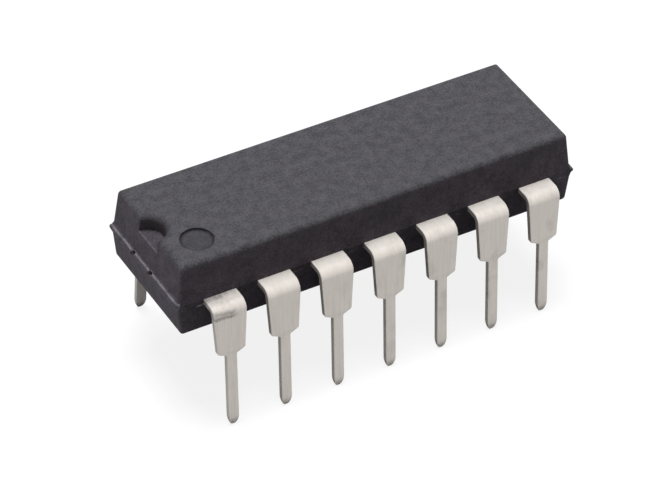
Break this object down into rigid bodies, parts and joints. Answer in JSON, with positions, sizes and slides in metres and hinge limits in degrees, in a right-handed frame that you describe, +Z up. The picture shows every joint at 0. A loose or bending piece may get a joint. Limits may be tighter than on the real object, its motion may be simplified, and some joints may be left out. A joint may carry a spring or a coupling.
{
  "type": "dip integrated circuit chip",
  "caption": "Dual in-line integrated circuit package: moulded dark body with a half-round notch and a lead 1 dimple, and two rows of bent tinned leads for through-hole boards.",
  "frame": {"origin": "centre of the footprint of the lead tips, on the plane that the tips stand on", "axes": "+X along the body, away from the notched lead 1 end; +Y towards leads 8 to 14; +Z up, out of the top face"},
  "size_m": [0.0194, 0.0088, 0.0082],
  "materials": {
    "moulded_epoxy": "matt, finely grained",
    "tinned_lead": "satin tin plating",
    "pad_metal": "satin copper alloy",
    "die_adhesive": "silver-filled adhesive",
    "silicon": "polished silicon",
    "gold_wire": "drawn gold wire"
  },
  "bodies": {
    "root": {"body": "moulded_epoxy", "die_pad": "pad_metal", "die_attach": "die_adhesive", "die": "silicon", "lead_1": "tinned_lead", "lead_2": "tinned_lead", "lead_3": "tinned_lead", "lead_4": "tinned_lead", "lead_5": "tinned_lead", "lead_6": "tinned_lead", "lead_7": "tinned_lead", "lead_8": "tinned_lead", "lead_9": "tinned_lead", "lead_10": "tinned_lead", "lead_11": "tinned_lead", "lead_12": "tinned_lead", "lead_13": "tinned_lead", "lead_14": "tinned_lead", "bond_wire_1": "gold_wire", "bond_wire_2": "gold_wire", "bond_wire_3": "gold_wire", "bond_wire_4": "gold_wire", "bond_wire_5": "gold_wire", "bond_wire_6": "gold_wire", "bond_wire_7": "gold_wire", "bond_wire_8": "gold_wire", "bond_wire_9": "gold_wire", "bond_wire_10": "gold_wire", "bond_wire_11": "gold_wire", "bond_wire_12": "gold_wire", "bond_wire_13": "gold_wire", "bond_wire_14": "gold_wire"}
  },
  "joints": []
}
